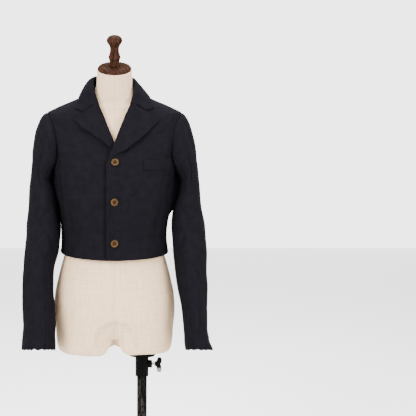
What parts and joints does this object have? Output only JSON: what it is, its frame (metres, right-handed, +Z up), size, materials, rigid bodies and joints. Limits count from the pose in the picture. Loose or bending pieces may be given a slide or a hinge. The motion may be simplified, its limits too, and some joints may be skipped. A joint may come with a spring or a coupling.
{
  "type": "cropped jacket on a dress form stand",
  "caption": "Cropped tailored jacket with notched lapels and welt pocket, worn by a limbless dress form that slides on a pole with a round base.",
  "frame": {"origin": "centre of the base plate's underside, on the floor", "axes": "+Z up along the pole, -Y the way the jacket faces, +X the wearer's left"},
  "size_m": [0.5274, 0.3543, 1.3874],
  "materials": {
    "jacket_cloth": "matt dark navy wool",
    "horn": "polished brown horn",
    "linen": "plain woven linen",
    "wood": "dark red-brown varnish",
    "black_steel": "worn black satin",
    "bright_steel": "bright turned steel",
    "black_plastic": "satin black plastic"
  },
  "bodies": {
    "stand": {"base_plate": "black_steel", "pole": "black_steel"},
    "form": {"front_left": "jacket_cloth", "front_right": "jacket_cloth", "back_left": "jacket_cloth", "back_right": "jacket_cloth", "upper_sleeve_left": "jacket_cloth", "under_sleeve_left": "jacket_cloth", "upper_sleeve_right": "jacket_cloth", "under_sleeve_right": "jacket_cloth", "lapel_left": "jacket_cloth", "lapel_right": "jacket_cloth", "collar": "jacket_cloth", "pocket_welt": "jacket_cloth", "front_button_1": "horn", "front_button_2": "horn", "front_button_3": "horn", "cuff_button_left_1": "horn", "cuff_button_left_2": "horn", "cuff_button_left_3": "horn", "cuff_button_right_1": "horn", "cuff_button_right_2": "horn", "cuff_button_right_3": "horn", "form_body": "linen", "neck_cap": "wood", "finial": "wood", "socket": "black_steel"},
    "thumb_screw": {"screw_shaft": "bright_steel", "screw_wings": "black_plastic"}
  },
  "joints": [
    {"name": "form_height", "type": "slide", "parent": "stand", "child": "form", "axis": [0, 0, 1], "range_m": [-0.07, 0.1]},
    {"name": "screw_turn", "type": "hinge", "parent": "form", "child": "thumb_screw", "pos_m": [0.078, -0.038, 0.464], "axis": [1, 0, 0], "continuous": true}
  ]
}
